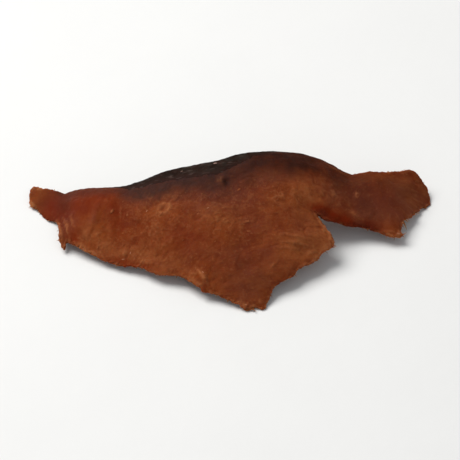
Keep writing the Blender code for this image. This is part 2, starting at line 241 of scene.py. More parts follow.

# Ridges that stand out on the cut face: start, end, half width, height and paleness, the paleness
# dry flesh and partly a painted highlight.
RIDGES = {
    "flap by the front edge": ((-7.6, -10.6), (-4.4, -15.2), 0.27, 0.30, 1.7),
    "flap, inner": ((-9.8, -11.0), (-7.4, -12.6), 0.30, 0.12, 0.3),
    "edge of the point": ((19.4, 1.6), (22.2, -3.4), 0.30, 0.05, 0.9),
    "edge of the point, low": ((22.2, -3.8), (19.2, -6.6), 0.28, 0.04, 0.8),
    "mark below the point": ((16.3, -7.3), (18.4, -5.9), 0.34, 0.26, 1.0),
    "mark right of the front": ((8.4, -11.8), (10.4, -9.4), 0.24, 0.12, 0.5),
    "fibre to the point, top": ((10.6, -4.1), (16.6, -4.4), 0.30, 0.14, 0.8),
    "fibre to the point, middle": ((10.8, -5.5), (17.6, -5.5), 0.36, 0.18, 1.0),
    "fibre to the point, low": ((9.4, -6.8), (15.0, -6.8), 0.28, 0.12, 0.6),
    "heel fibre, outer": ((-37.7, 7.6), (-36.0, -1.2), 0.32, 0.26, 1.0),
    "heel fibre, middle": ((-36.3, 7.0), (-34.4, -0.4), 0.32, 0.30, 1.0),
    "heel fibre, inner": ((-34.9, 6.0), (-33.2, 0.2), 0.28, 0.18, 0.6),
    "heel, right": ((-33.4, 0.2), (-31.4, -1.4), 0.40, 0.14, 0.7),
    "bulge fold, left": ((-28.1, 7.8), (-30.5, -1.2), 0.95, 0.34, 0.0),
    "bulge fold, middle": ((-25.7, 8.4), (-25.0, 0.0), 1.00, 0.22, 0.0),
    "foot of the bulge": ((-31.6, 0.6), (-30.2, -1.8), 0.70, 0.16, 0.40),
    "bulge streak, right": ((-23.8, 5.6), (-23.5, 2.4), 0.28, 0.14, 0.9),
    "bulge streak, low": ((-26.0, 1.5), (-25.0, -3.2), 0.60, 0.16, 0.2),
    "bulge end": ((-29.4, -1.2), (-27.6, -0.6), 0.40, 0.14, 0.5),
    "waist fibre": ((25.4, 5.8), (29.2, 3.4), 0.55, 0.18, 0.6),
    "waist fibre, low": ((26.6, 3.6), (29.6, 2.8), 0.26, 0.12, 0.5),
    "waist fleck, left": ((22.3, 9.3), (22.5, 7.3), 0.55, 0.12, 0.9),
    "waist fleck, right": ((27.4, 10.0), (27.5, 8.4), 0.50, 0.12, 0.9),
    "waist fleck, low": ((25.0, 8.0), (26.2, 6.2), 0.50, 0.08, 0.3),
    "middle streak": ((2.2, -0.6), (2.5, -3.6), 0.34, 0.12, 0.6),
    "mark in the middle": ((-9.0, 3.6), (-8.2, 3.2), 0.30, 0.10, 0.6),
    "mark left of the middle": ((-17.3, -1.4), (-17.0, -3.4), 0.34, 0.14, 0.8),
    "mark in the grain": ((10.8, 6.0), (11.8, 3.6), 0.30, 0.14, 0.7),
    "mark in the grain, low": ((8.2, 4.4), (10.2, 2.6), 0.28, 0.12, 0.6),
    "fold beside the notch": ((15.6, 7.0), (19.0, 4.2), 0.40, 0.16, 0.5),
    "fold under the skin": ((-16.8, 6.8), (-9.6, 7.8), 0.50, 0.10, 0.0),
    "front fold": ((-19.4, -7.4), (-13.5, -10.0), 0.30, 0.16, 0.8),
    "tail corner": ((32.0, 2.4), (36.2, 1.4), 0.26, 0.14, 0.9),
    "tail fibre, top": ((39.6, 16.0), (42.6, 17.0), 0.16, 0.08, 0.30),
    "tail fibre, second": ((38.8, 14.2), (43.2, 15.2), 0.16, 0.09, 0.35),
    "tail fibre, third": ((39.2, 12.6), (43.2, 12.9), 0.15, 0.09, 0.40),
    "tail fibre, fourth": ((38.6, 11.2), (42.4, 11.0), 0.15, 0.09, 0.35),
    "tail fibre, fifth": ((38.2, 9.8), (41.0, 9.2), 0.16, 0.09, 0.40),
    "tail fibre, sixth": ((36.8, 8.2), (39.0, 6.8), 0.16, 0.09, 0.35),
    "tail fibre, low": ((35.6, 6.6), (37.0, 4.4), 0.16, 0.09, 0.40),
    "rim where the skin ends": ((20.6, 16.4), (25.2, 15.0), 0.40, 0.20, 0.35),
    "rim of the pit": ((-2.9, 8.0), (-1.5, 9.4), 0.50, 0.06, 0.45),
    "head of the bulge": ((-27.6, 6.9), (-25.8, 6.8), 0.60, 0.05, 0.45),
}

# Rings that stand out: centre, radius, height, half width and paleness, the paleness partly a
# painted highlight. Pits: centre, radius and depth.
RINGS = {
    "healed ring": ((-14.2, 2.9), 1.15, 0.16, 0.44, 1.0),
}
PITS = {
    "pit in the skin": ((-0.9, 8.1), 0.65, 0.36),
    "pit left of the middle, top": ((-11.6, -4.9), 0.50, 0.16),
    "pit left of the middle": ((-13.1, -5.9), 0.40, 0.12),
    "pit left of the middle, low": ((-15.4, -7.4), 0.50, 0.16),
}

# Dry white flecks that catch the light: place, length and turn in degrees.
GLINTS = {
    "heel": ((-31.5, -3.1), 0.9, 20),
    "right of the bulge": ((-23.8, 4.0), 0.7, 85),
    "lower left edge, outer": ((-22.9, -6.3), 0.8, 10),
    "lower left edge, inner": ((-21.4, -5.4), 0.6, 70),
    "middle": ((-4.7, 1.6), 0.6, 20),
    "left of the middle": ((-17.8, 3.1), 0.6, 60),
    "front tip": ((3.4, -19.0), 0.8, -20),
    "front edge": ((-5.9, -12.6), 0.7, -60),
    "corner of the tail": ((36.4, 1.6), 0.9, -10),
    "skin": ((-3.1, 13.6), 1.0, 10),
    "skin, left": ((-10.4, 11.9), 0.7, 20),
}

# Fibres that stand well clear of a torn edge: the place on the edge, which way they point in
# plan in degrees, length.
SPIKES = {
    "corner of the tail": ((37.4, 1.4), -15, 0.9),
    "end of the tail, low": ((37.8, 5.0), -60, 1.0),
    "end of the tail, low pair": ((38.6, 6.0), -40, 0.7),
    "end of the tail, middle": ((40.4, 8.9), -70, 0.9),
    "end of the tail, middle pair": ((41.2, 9.8), -30, 0.7),
    "point": ((21.6, -4.2), -25, 0.8),
    "front tip": ((4.0, -19.4), -100, 0.7),
}


# ---------------------------------------------------------------- sizes and colours

def setting(kind, **limits):
    """Makes a short call for one kind of setting."""
    def short(name, description, default):
        return kind(name=name, description=description, default=default, **limits)
    return short


colour = setting(FloatVectorProperty, subtype="COLOR", size=3, min=0, max=1)
length = setting(FloatProperty, subtype="DISTANCE", unit="LENGTH", min=0)
angle = setting(FloatProperty, subtype="ANGLE")
power = setting(FloatProperty, unit="POWER", min=0)
amount = setting(FloatProperty, min=0)
count = setting(IntProperty, min=0)


class FleshSettings(bpy.types.PropertyGroup):
    passes: count("Passes", "How often the packed mesh is split finer, twice at most", 2)
    flake_height: length("Flakes", "Height of the swells of the muscle flakes", 0.00014)
    fibre_height: length("Fibres", "Height of the muscle fibres", 0.00004)
    grain_height: length("Grains", "Height of the dried grains", 0.00006)
    crinkle_size: length("Crinkle size", "Distance between the dried crinkles", 0.0013)
    crinkle_height: length("Crinkles", "Height of the dried crinkles", 0.00014)
    fray: length("Fray", "How far torn edges stand in and out", 0.00030)
    pinch: length("Pinch", "How much thinner a torn edge gets on each side", 0.00020)
    red: colour("Red", "Deep colour of the flesh", (0.116, 0.0178, 0.0047))
    brown: colour("Brown", "Light colour of the flesh", (0.164, 0.0345, 0.0083))
    # purple: the flesh's own purple tone, with painted shade in creases and painted sheen on the
    # tail.
    purple: colour("Purple", "Flesh in creases and in the tail", (0.110, 0.0225, 0.0125))
    # Painted sheen: the milky pink veil laid where the flesh faces the light.
    rose: colour("Rose", "Milky flesh of the flanks and below the skin", (0.165, 0.0425, 0.0190))
    dusk: colour("Dusk", "Greyed flesh below the skin", (0.038, 0.0172, 0.0138))
    # dark: the dark muscle next to the skin, and also the colour of the painted shade in the dark
    # zones.
    dark: colour("Dark muscle", "Muscle next to the skin", (0.027, 0.0088, 0.0060))
    # tan: dried grains and thin ends, and also painted light on slopes that face the light.
    tan: colour("Tan", "Dried grains, wrinkles and thin ends", (0.245, 0.0700, 0.0212))
    amber: colour("Amber", "Thin flesh that light comes through", (0.225, 0.0480, 0.0096))
    # orange: the flesh's own orange red, with painted shade in creases and painted light on lit
    # undersides.
    orange: colour("Orange red", "Flesh in creases and lit undersides", (0.143, 0.0125, 0.0018))
    # pale: dry edges, ridges and grains, and partly a painted highlight on rims and ridges.
    pale: colour("Pale", "Dry edges, ridges and grains", (0.310, 0.107, 0.039))


class SkinSettings(bpy.types.PropertyGroup):
    thickness: length("Thickness", "Thickness of the skin", 0.00008)
    scale_size: length("Scale size", "Distance between scale pockets", 0.0013)
    scale_height: length("Scale height", "Depth of the scale pockets", 0.00006)
    deep: colour("Deep", "Dark colour of the skin", (0.0140, 0.0070, 0.0050))
    sheen: colour("Sheen", "Blue grey of the skin", (0.024, 0.0172, 0.0134))
    glint: colour("Glint", "Dry creases that catch the light", (0.062, 0.0400, 0.0330))
    warm: colour("Warm", "Colour where the skin thins out over flesh", (0.028, 0.0105, 0.0068))
    faded: colour("Faded", "Colour where it thins out over greyed flesh", (0.031, 0.0135, 0.0104))


class FraySettings(bpy.types.PropertyGroup):
    tries: count("Tries", "Places tried for a fibre, of which some stay bare", 260)
    shortest: length("Shortest", "Shortest fibre", 0.00020)
    longest: length("Longest", "Longest fibre", 0.00065)
    thickness: length("Thickness", "Thickness of a fibre at its root", 0.00030)
    root: colour("Root", "Colour of the fibres", (0.190, 0.0450, 0.0100))
    tip: colour("Tip", "Colour of the dry tips", (0.380, 0.165, 0.075))


class PeelSettings(bpy.types.PropertyGroup):
    number: count("Number", "Number of peels on the cut faces", 45)
    shortest: length("Shortest", "Shortest peel", 0.0005)
    longest: length("Longest", "Longest peel", 0.0013)
    colour: colour("Colour", "Colour of the peels", (0.215, 0.0550, 0.0165))
    white: colour("White", "Colour of the whitest specks", (0.360, 0.145, 0.078))
    # Painted glint: the colour of the flecks on the skin where it catches the light.
    dust: colour("Dust", "Colour of the specks on the skin", (0.270, 0.165, 0.135))


class StageSettings(bpy.types.PropertyGroup):
    floor_radius: length("Floor", "Radius of the floor", 2.5)
    floor: colour("Floor colour", "Pale floor", (0.80, 0.80, 0.79))
    key_power: power("Key", "Window light from back left", 8.6)
    fill_power: power("Fill", "Weak light from the front", 0.8)
    world: amount("Surroundings", "Strength of the pale surroundings", 0.30)
    elevation: angle("Elevation", "Camera angle above the floor", radians(42.5))
    distance: length("Distance", "Camera to the slice", 0.578)


# ---------------------------------------------------------------- measuring the slice

def soft(value, low, high):
    """0 below low, 1 above high, and a smooth step between."""
    step = min(1.0, max(0.0, (value - low) / (high - low)))
    return step * step * (3 - 2 * step)


def noise_at(x, y, pattern, scale=1.0):
    """Noise at a place in plan, from one of many patterns."""
    return noise.noise(Vector((x * scale, y * scale, pattern)))


def noise_beside(place, *shift):
    """Noise at a place moved aside, so that it matches no other."""
    return noise.noise(place + Vector(shift))


def tree_of(places):
    """A search tree of places, given as pairs of a place and its number."""
    places = list(places)
    tree = KDTree(len(places))
    for place, number in places:
        tree.insert(place, number)
    tree.balance()
    return tree


def opened(mesh):
    """A mesh opened for shaping, in millimetres."""
    bm = bmesh.new()
    bm.from_mesh(mesh)
    bmesh.ops.scale(bm, verts=bm.verts, vec=(1 / MM,) * 3)
    return bm


def packed_copy():
    """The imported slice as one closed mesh."""
    bm = opened(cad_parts[NODE].data)
    bmesh.ops.remove_doubles(bm, verts=bm.verts, dist=WELD)
    return bm


class Rim:
    """The line round the slice where its top meets its underside."""

    # Points on each edge of the line. The skin lies on those between two places along X, past
    # one along Y, whose outward direction has this much of the way back in it.
    per_edge = 4
    skin_span = (-36.5, 26.0)
    skin_behind = 9
    skin_facing = 0.35

    def __init__(self):
        bm = packed_copy()
        bm.normal_update()
        found = []
        for edge in bm.edges:
            one, two = [face.normal for face in edge.link_faces]
            if (one.z > 0) == (two.z > 0):
                continue
            away = (one + two).to_3d()
            away.z = 0
            for i in range(self.per_edge):
                place = edge.verts[0].co.lerp(edge.verts[1].co, (i + 0.5) / self.per_edge)
                found.append((place, away.normalized()))
        bm.free()
        found.sort(key=lambda pair: tuple(pair[0]))
        self.points, self.outward = zip(*found)
        numbered = [(place, number) for number, place in enumerate(self.points)]
        self.tree = tree_of(numbered)
        self.skin = tree_of(pair for pair in numbered if self.is_skin(pair[1]))

    def is_skin(self, i):
        point, away = self.points[i], self.outward[i]
        low, high = self.skin_span
        return low < point.x < high and point.y > self.skin_behind and away.y > self.skin_facing

    def near(self, point):
        """Distance to the rim, and which point of it is nearest."""
        _, index, distance = self.tree.find(point)
        return distance, index

    def to_skin(self, point):
        """Distance to the skin's side of the rim."""
        return self.skin.find(point)[2]


ZONE_WAVER = 1.1
ZONE_WAVERS_PER_MM = 0.31
ZONE_ENDS_AT = 3.2


def zone(layer, x, y):
    """How far a place lies in the zones of a layer, from 0 to 1."""
    place = Vector((x * ZONE_WAVERS_PER_MM, y * ZONE_WAVERS_PER_MM, ZONE_SEEDS[layer]))
    x += ZONE_WAVER * noise.noise(place)
    y += ZONE_WAVER * noise_beside(place, 17, 5, 3)
    total = 0.0
    for (cx, cy), (along, across), turn, strength in ZONES[layer].values():
        reach = ZONE_ENDS_AT * max(along, across)
        if abs(x - cx) > reach or abs(y - cy) > reach:
            continue
        c, s = cos(radians(turn)), sin(radians(turn))
        u = ((x - cx) * c + (y - cy) * s) / along
        v = ((y - cy) * c - (x - cx) * s) / across
        total += strength * exp(-0.5 * (u * u + v * v))
    return min(1.0, total)


# The muscle fibres turn from upright at one place along X to level at another, as the contour
# lines of a complex exponential do. In the tail they fan out from the waist.
UPRIGHT_AT = -38
LEVEL_AT = 14
FIBRE_TURN = -radians(90) / (LEVEL_AT - UPRIGHT_AT)
FIBRE_START = radians(90) - FIBRE_TURN * UPRIGHT_AT
FAN_CENTRE = (24.0, 7.0)
FAN_SPREAD = 14.0
FAN_FROM = (26.0, 31.0)


def fibre_place(x, y):
    """Distance along and across the fibres of the body, in millimetres."""
    turned = complex_exp(-1j * (FIBRE_START + FIBRE_TURN * complex(x, y))) / (-1j * FIBRE_TURN)
    return turned.real, turned.imag


def fibre_turn(x, y):
    """Which way the fibres of the body run at a place, in radians."""
    return (FIBRE_START + FIBRE_TURN * complex(x, y)).real


def fan_place(x, y):
    """Distance along and across the fibres of the tail."""
    away = complex(x - FAN_CENTRE[0], y - FAN_CENTRE[1])
    bearing = Vector((1, 0)).angle_signed(Vector((away.real, away.imag)), 0)
    return abs(away), -bearing * FAN_SPREAD


def fibres_at(x, y, z, width, stretch):
    """Noise drawn out along the fibres: width across, stretch times that along."""
    u, v = fibre_place(x, y)
    body = noise.noise(Vector((u / (width * stretch), v / width, z / 3)))
    fan = soft(x, *FAN_FROM)
    if fan > 0:
        u, v = fan_place(x, y)
        tail = noise.noise(Vector((u / (width * stretch), v / width, z / 3 + 9)))
        body += fan * (tail - body)
    return body


RIDGE_WAVER = 0.30


def ridge_at(x, y):
    """Height and paleness of the ridges and rings at a place on the top."""
    height, pale = 0.0, 0.0
    x += RIDGE_WAVER * noise_at(x, y, 4, 0.7)
    y += RIDGE_WAVER * noise_at(x, y, 7, 0.7)
    broken = soft(noise_at(x, y, 15, 1.9), -0.6, 0.2)
    for (ax, ay), (bx, by), wide, tall, light in RIDGES.values():
        if not (min(ax, bx) - 1 < x < max(ax, bx) + 1 and min(ay, by) - 1 < y < max(ay, by) + 1):
            continue
        run = hypot(bx - ax, by - ay)
        along = ((x - ax) * (bx - ax) + (y - ay) * (by - ay)) / (run * run)
        held = min(1.0, max(0.0, along))
        off = hypot(x - ax - held * (bx - ax), y - ay - held * (by - ay))
        taper = 0.35 + 0.65 * sin(pi * min(0.98, max(0.02, along)))
        shape = exp(-((off / (wide * taper)) ** 2)) * taper
        height += tall * shape
        pale = max(pale, light * shape * broken)
    for (cx, cy), radius, tall, wide, light in RINGS.values():
        off = hypot(x - cx, y - cy)
        shape = exp(-(((off - radius) / wide) ** 2))
        height += tall * shape
        pale = max(pale, light * shape * soft(noise_at(x, y, 3), -0.6, 0.1))
        height -= tall * exp(-((off / (0.6 * radius)) ** 2))
    for (cx, cy), radius, deep in PITS.values():
        height -= deep * exp(-((hypot(x - cx, y - cy) / radius) ** 2))
    return height, pale


# How far the skin reaches in from the rim on the top face, at places along X in millimetres.
SKIN_REACH = (
    (-36.5, 0.0), (-33.0, 0.5), (-27.0, 0.9), (-23.3, 2.0), (-21.0, 3.2), (-18.5, 3.8),
    (-14.0, 4.6), (-10.0, 5.1), (-6.0, 5.4), (-2.0, 5.6), (1.0, 4.7), (5.0, 2.6), (10.0, 1.6),
    (15.0, 0.4), (18.0, -0.5),
)
# Beside the rim the flesh is dark. At each place along X: how far it is at its darkest, how far
# in it has faded away, and how dark it is.
DARK_REACH = (
    (-38.0, 0.5, 2.2, 0.4), (-32.0, 1.4, 6.5, 0.5), (-29.0, 1.8, 6.2, 0.5), (-25.5, 2.4, 6.4, 0.5),
    (-23.3, 3.2, 7.5, 0.8), (-21.0, 4.4, 8.2, 0.9), (-18.5, 5.0, 9.2, 0.95),
    (-14.5, 5.7, 10.2, 1.0), (-10.0, 5.0, 10.8, 1.0), (-7.0, 5.2, 11.8, 1.0),
    (-4.0, 5.6, 14.0, 1.0), (0.0, 3.8, 14.0, 1.0), (5.0, 3.6, 13.0, 1.0), (9.5, 3.8, 12.8, 1.0),
    (13.0, 5.2, 11.4, 1.0), (16.0, 5.4, 8.8, 0.95), (18.5, 4.8, 8.2, 0.85),
    (20.5, 3.6, 8.2, 0.65), (24.5, 4.0, 8.6, 0.6), (28.0, 2.0, 9.0, 0.35),
)
# Along X, the greyed flesh below the skin turns into browned flesh between these places.
DUSK_FADES = (0.0, 8.0)
# The skin's band on the underside: its ends along X, how far it reaches in, and its fade.
UNDERSIDE_SPAN = (-37, 27)
UNDERSIDE_REACH = 5.0
UNDERSIDE_FADE = 3.5


def profile(steps, x):
    """The values between the steps (place, value, ...) at a place along X, held past the ends."""
    values = steps[0][1:]
    for (ax, *a), (bx, *b) in zip(steps, steps[1:]):
        if x >= ax:
            part = min(1.0, (x - ax) / (bx - ax))
            values = [low + (high - low) * part for low, high in zip(a, b)]
    return values


def skin_reach(x, y, top):
    """How far the skin reaches in from the rim at a place, torn unevenly."""
    if top:
        reach = profile(SKIN_REACH, x)[0]
    else:
        left, right = UNDERSIDE_SPAN
        reach = UNDERSIDE_REACH * soft(min(x - left, right - x), 0, 7)
    rough = noise_at(x, y, 31, 0.8) + 0.5 * noise_at(x, y, 12, 2.6)
    return reach + 0.45 * rough * soft(reach, 0.2, 2.5)


def darkness(x, y, top, to_skin):
    """1 next to the skin, fading to 0 where the dark flesh ends."""
    if top:
        full, gone, depth = profile(DARK_REACH, x)
    else:
        full = skin_reach(x, y, False)
        gone, depth = full + UNDERSIDE_FADE, 1.0
    uneven = 0.8 * noise_at(x, y, 5, 0.35) + 0.5 * noise_at(x, y, 8)
    return depth * soft(to_skin + uneven, gone, full)


# ---------------------------------------------------------------- finishing a piece

def mesh_of(bm, name):
    """Turns a bmesh into a mesh."""
    mesh = bpy.data.meshes.new(name)
    bm.to_mesh(mesh)
    bm.free()
    return mesh


def placed(name, data):
    """A new object in the scene."""
    made = bpy.data.objects.new(name, data)
    bpy.context.scene.collection.objects.link(made)
    return made


def finished(bm, name, material):
    """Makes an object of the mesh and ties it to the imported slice."""
    bmesh.ops.scale(bm, verts=bm.verts, vec=(MM,) * 3)
    mesh = mesh_of(bm, name)
    mesh.shade_smooth()
    mesh.materials.append(material)
    piece = placed(name, mesh)
    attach(piece, BODY)
    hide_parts(NODE)


def made_flesh():
    """The mesh of the flesh, which skin and peels are laid on."""
    flesh = bpy.data.objects.get(FLESH)
    if flesh is None:
        raise RuntimeError("skin and peels lie on the flesh: make the flesh first")
    return flesh.data


def number_layers(bm, *names):
    """A number on every vertex for each name."""
    return [bm.verts.layers.float.new(name) for name in names]


def added_copy(bm, mesh):
    """Adds a copy of a mesh and gives its vertices."""
    first = len(bm.verts)
    bm.from_mesh(mesh)
    bm.verts.ensure_lookup_table()
    return bm.verts[first:]


def settle(verts):
    """Lifts what has gone through the floor."""
    for vert in verts:
        vert.co.z = max(0.0, vert.co.z)


class Finish:
    """A material whose nodes are wired in few words."""

    def __init__(self, name):
        self.material = bpy.data.materials.new(name)
        self.material.use_nodes = True
        self.nodes = self.material.node_tree.nodes
        self.links = self.material.node_tree.links
        self.surface = self.nodes["Principled BSDF"]
        self.base = None

    def node(self, kind, inputs=None, **settings):
        made = self.nodes.new(kind)
        for key, value in settings.items():
            setattr(made, key, value)
        for key, value in (inputs or {}).items():
            self.put(made.inputs[key], value)
        return made

    def put(self, socket, value):
        """Links a socket, or sets its value."""
        if isinstance(value, bpy.types.NodeSocket):
            self.links.new(value, socket)
        elif hasattr(value, "__len__") and socket.type == "RGBA":
            socket.default_value = (*value[:3], 1)
        else:
            socket.default_value = value

    def set(self, **inputs):
        for key, value in inputs.items():
            self.put(self.surface.inputs[key.replace("_", " ")], value)

    def layer(self, name, output="Fac"):
        """A number or vector kept on the mesh."""
        return self.node("ShaderNodeAttribute", attribute_name=name).outputs[output]

    def object_place(self):
        return self.node("ShaderNodeTexCoord").outputs["Object"]

    def stretched(self, place, scale):
        return self.node("ShaderNodeMapping", {"Vector": place, "Scale": scale}).outputs["Vector"]

    def noise(self, place, scale, detail=4.0, roughness=0.55, distortion=0.0):
        """Soft noise, its scale in waves per metre."""
        inputs = {
            "Vector": place, "Scale": scale, "Detail": detail,
            "Roughness": roughness, "Distortion": distortion,
        }
        return self.node("ShaderNodeTexNoise", inputs).outputs["Fac"]

    def cells(self, place, scale):
        """Distance to the nearest of many spots, their scale in spots per metre."""
        inputs = {"Vector": place, "Scale": scale}
        return self.node("ShaderNodeTexVoronoi", inputs).outputs["Distance"]

    def spread(self, value, low, high, at_high=1.0, at_low=0.0):
        """Maps low to high onto at_low to at_high, smoothly and held at the ends."""
        inputs = {
            "Value": value, "From Min": low, "From Max": high,
            "To Min": at_low, "To Max": at_high,
        }
        made = self.node("ShaderNodeMapRange", inputs, interpolation_type="SMOOTHSTEP")
        return made.outputs["Result"]

    def uneven(self, pattern, least, most):
        """A value that a noise pattern moves between two limits."""
        return self.spread(pattern, 0.3, 0.7, most, least)

    def math(self, operation, a, b=0.0):
        return self.node("ShaderNodeMath", {0: a, 1: b}, operation=operation).outputs[0]

    def times(self, a, b):
        return self.math("MULTIPLY", a, b)

    def plus(self, a, b):
        return self.math("ADD", a, b)

    def mix(self, amount, under, over):
        """A colour laid over another."""
        inputs = {"Factor": amount, 6: under, 7: over}
        return self.node("ShaderNodeMix", inputs, data_type="RGBA").outputs[2]

    def coat(self, over, amount, held_by=1.0):
        """Lays a colour over the base, by an amount that a mask or a share may hold back."""
        if held_by != 1.0:
            amount = self.times(amount, held_by)
        self.base = self.mix(amount, self.base, over)

    def blend(self, amount, under, over):
        """A number between two others."""
        return self.node("ShaderNodeMix", {"Factor": amount, 2: under, 3: over}).outputs[0]

    def warped(self, place, scale, amount):
        """A place pushed about by noise, by up to half the amount in metres."""
        vector = "ShaderNodeVectorMath"
        inputs = {"Vector": place, "Scale": scale, "Detail": 3.0}
        push = self.node("ShaderNodeTexNoise", inputs).outputs["Color"]
        push = self.node(vector, {0: push, 1: (0.5,) * 3}, operation="SUBTRACT").outputs[0]
        push = self.node(vector, {0: push, "Scale": amount}, operation="SCALE").outputs[0]
        return self.node(vector, {0: place, 1: push}, operation="ADD").outputs[0]

    def bump(self, height, distance, strength=1.0):
        inputs = {"Height": height, "Distance": distance, "Strength": strength}
        return self.node("ShaderNodeBump", inputs).outputs["Normal"]


# ---------------------------------------------------------------- flesh

def flesh_finish(look):
    """Dried flesh: mottled red brown, streaked along its fibres, pale on grains and torn rims, with
    painted shade, sheen and highlights laid in zones and on the relief.
    """
    finish = Finish("dried_flesh")
    place = finish.object_place()
    grainy = finish.layer("grainy")

    mottle = finish.noise(place, 260.0, 6.0, 0.6, 0.6)
    finish.base = finish.mix(finish.spread(mottle, 0.34, 0.66), look.red, look.brown)
    tint = finish.noise(place, 170.0, 4.0, 0.5, 0.8)
    finish.coat(look.purple, finish.spread(tint, 0.50, 0.66, 0.45))
    finish.coat(look.amber, finish.spread(tint, 0.48, 0.32, 0.35))
    along = finish.stretched(finish.layer("fibres", "Vector"), (0.22, 2.0, 0.6))
    fanned = finish.stretched(finish.layer("fan_fibres", "Vector"), (0.10, 2.4, 0.6))
    body = finish.noise(along, 1.0, 4.0, 0.6, 0.1)
    tail = finish.noise(fanned, 1.0, 4.0, 0.6)
    streak = finish.blend(finish.layer("fan"), body, tail)
    finish.coat(look.brown, finish.spread(streak, 0.45, 0.75, 0.40))
    finish.coat(look.red, finish.spread(streak, 0.48, 0.28, 0.25))

    patchy = finish.spread(finish.noise(place, 650.0, 5.0, 0.6, 0.5), 0.32, 0.64, at_low=0.35)
    # Amber zones: painted glow through thin flesh and painted light on slopes turned to the light.
    finish.coat(look.amber, finish.layer("amber"), patchy)
    # Painted sheen over the flanks, below the skin, the waist and the tail.
    finish.coat(look.rose, finish.layer("rose"))
    # Tan zones: dried grains, and painted light on the point, beside the notch, the flank and the
    # tail end.
    finish.coat(look.tan, finish.layer("tan"), patchy)
    # Purple zones: painted shade in creases and painted sheen on the tail.
    finish.coat(look.purple, finish.layer("purple"), 0.85)

    # Painted shade in the hollows of the relief, and a painted highlight on its raised parts.
    relief = finish.layer("relief")
    finish.coat(look.red, finish.spread(relief, 0.0, -1.2, 0.50))
    finish.coat(look.pale, finish.spread(relief, 0.3, 1.4, 0.26))
    finish.coat(look.pale, finish.layer("crinkle"), 0.45)
    rough = finish.spread(finish.layer("smooth"), 0.0, 1.0, at_high=0.3, at_low=1.0)
    speck = finish.noise(place, 1500.0, 4.0, 0.65, 0.3)
    finish.coat(look.pale, finish.spread(speck, 0.54, 0.74, 0.36), rough)
    finish.coat(look.red, finish.spread(speck, 0.46, 0.26, 0.50), rough)
    # Orange red: the flesh's own tone, with painted light on undersides and painted shade in the
    # notch.
    finish.coat(look.orange, finish.layer("red"), 0.92)

    line = finish.noise(finish.warped(place, 700.0, 0.0008), 950.0, 2.0)
    line = finish.math("ABSOLUTE", finish.math("SUBTRACT", line, 0.5))
    broken = finish.spread(finish.noise(place, 600.0, 2.0), 0.46, 0.60, 0.5)
    line = finish.times(finish.spread(line, 0.05, 0.005), broken)
    spot = finish.spread(finish.cells(finish.warped(place, 1500.0, 0.0005), 900.0), 0.34, 0.12)
    spot = finish.times(spot, finish.spread(finish.noise(place, 480.0, 3.0), 0.50, 0.62))
    wrinkle = finish.math("MAXIMUM", line, spot)
    wrinkle = finish.times(wrinkle, finish.spread(grainy, 0.0, 1.0, at_low=0.2))
    finish.coat(look.pale, wrinkle, 0.45)

    below_skin = finish.mix(finish.layer("browned"), look.dusk, look.dark)
    worn = finish.uneven(finish.noise(place, 480.0, 4.0), 0.85, 1.0)
    finish.coat(below_skin, finish.layer("dusk"), worn)
    # Painted shade from the dark zones.
    finish.coat(look.dark, finish.layer("dark"))
    # Pale dry edges, ridges and grains, partly a painted rim and ridge highlight.
    torn = finish.spread(finish.noise(place, 1300.0, 3.0), 0.32, 0.62, at_low=0.45)
    finish.coat(look.pale, finish.layer("pale"), torn)

    fine = finish.noise(place, 4200.0, 3.0, 0.6)
    height = finish.plus(finish.times(fine, 0.6), finish.times(streak, 1.2))
    height = finish.plus(height, finish.times(wrinkle, 0.8))
    height = finish.plus(height, finish.times(finish.times(speck, rough), 1.4))
    gloss = finish.uneven(finish.noise(place, 520.0, 4.0), 0.42, 0.62)
    finish.set(
        Base_Color=finish.base,
        Roughness=finish.plus(gloss, finish.times(grainy, 0.12)),
        Normal=finish.bump(height, 0.00006),
        Subsurface_Weight=0.35,
        Subsurface_Radius=(1.0, 0.32, 0.12),
        Subsurface_Scale=0.0012,
        Specular_IOR_Level=0.015,
    )
    return finish.material


# Widths in millimetres of the flakes and of the swells and puckers on them, and of the grains.
FLAKE_SIZE = 5.0
SWELL_SIZE = 2.6
PUCKER_SIZE = 1.1
GRAIN_SIZES = (0.62, 0.40)


def flakes_at(point):
    """The swell, crease and pucker of the muscle flakes over a place."""
    bent = point / FLAKE_SIZE
    bent += 0.5 * Vector((noise.noise(bent * 1.7), noise_beside(bent * 1.7, 9, 4, 2), 0))
    crease = exp(-((noise.noise(bent) / 0.05) ** 2)) * soft(noise.noise(point * 0.3), -0.3, 0.3)
    swell = noise_beside(point / SWELL_SIZE, 2, 8, 1)
    return swell, crease, noise_beside(point / PUCKER_SIZE, 5, 3, 7)


def strands_at(x, y, z):
    """The muscle fibres over a place: coarse ones, and fine ones on them."""
    return fibres_at(x, y, z, 0.50, 5) + 0.7 * fibres_at(x, y, z + 5, 0.30, 7)


def grain_at(point, size):
    """Height of the rounded grain over a place: not every cell has one."""
    distances, cells = noise.voronoi(point / size)
    kept = noise.cell(cells[0] * 7.3)
    return max(0.0, 1 - distances[0] / 0.62) ** 1.5 * soft(kept, -0.2, 0.6)


def grains_at(point):
    """The dried grains over a place: large ones, and small ones between them."""
    large, small = GRAIN_SIZES
    return grain_at(point, large) + 0.6 * grain_at(point + Vector((31, 7, 5)), small)


def crinkle_at(point, size):
    """Height of the dried crinkles: short, bent, broken wrinkles."""
    place = point / size
    place += 0.5 * noise.noise_vector(place * 0.8)
    kept = soft(noise_beside(place * 0.7, 9, 3, 1), -0.05, 0.3)
    return exp(-((noise_beside(place, 3, 2, 5) / 0.13) ** 2)) * kept


def fray_at(point):
    """How far a torn edge stands in or out: wide waves, narrow ones and threads."""
    waves = noise_beside(point * 0.9, 3, 1, 6) + 0.8 * noise.noise(point * 2.7)
    return waves + 0.35 * noise.noise(point * 5.5)


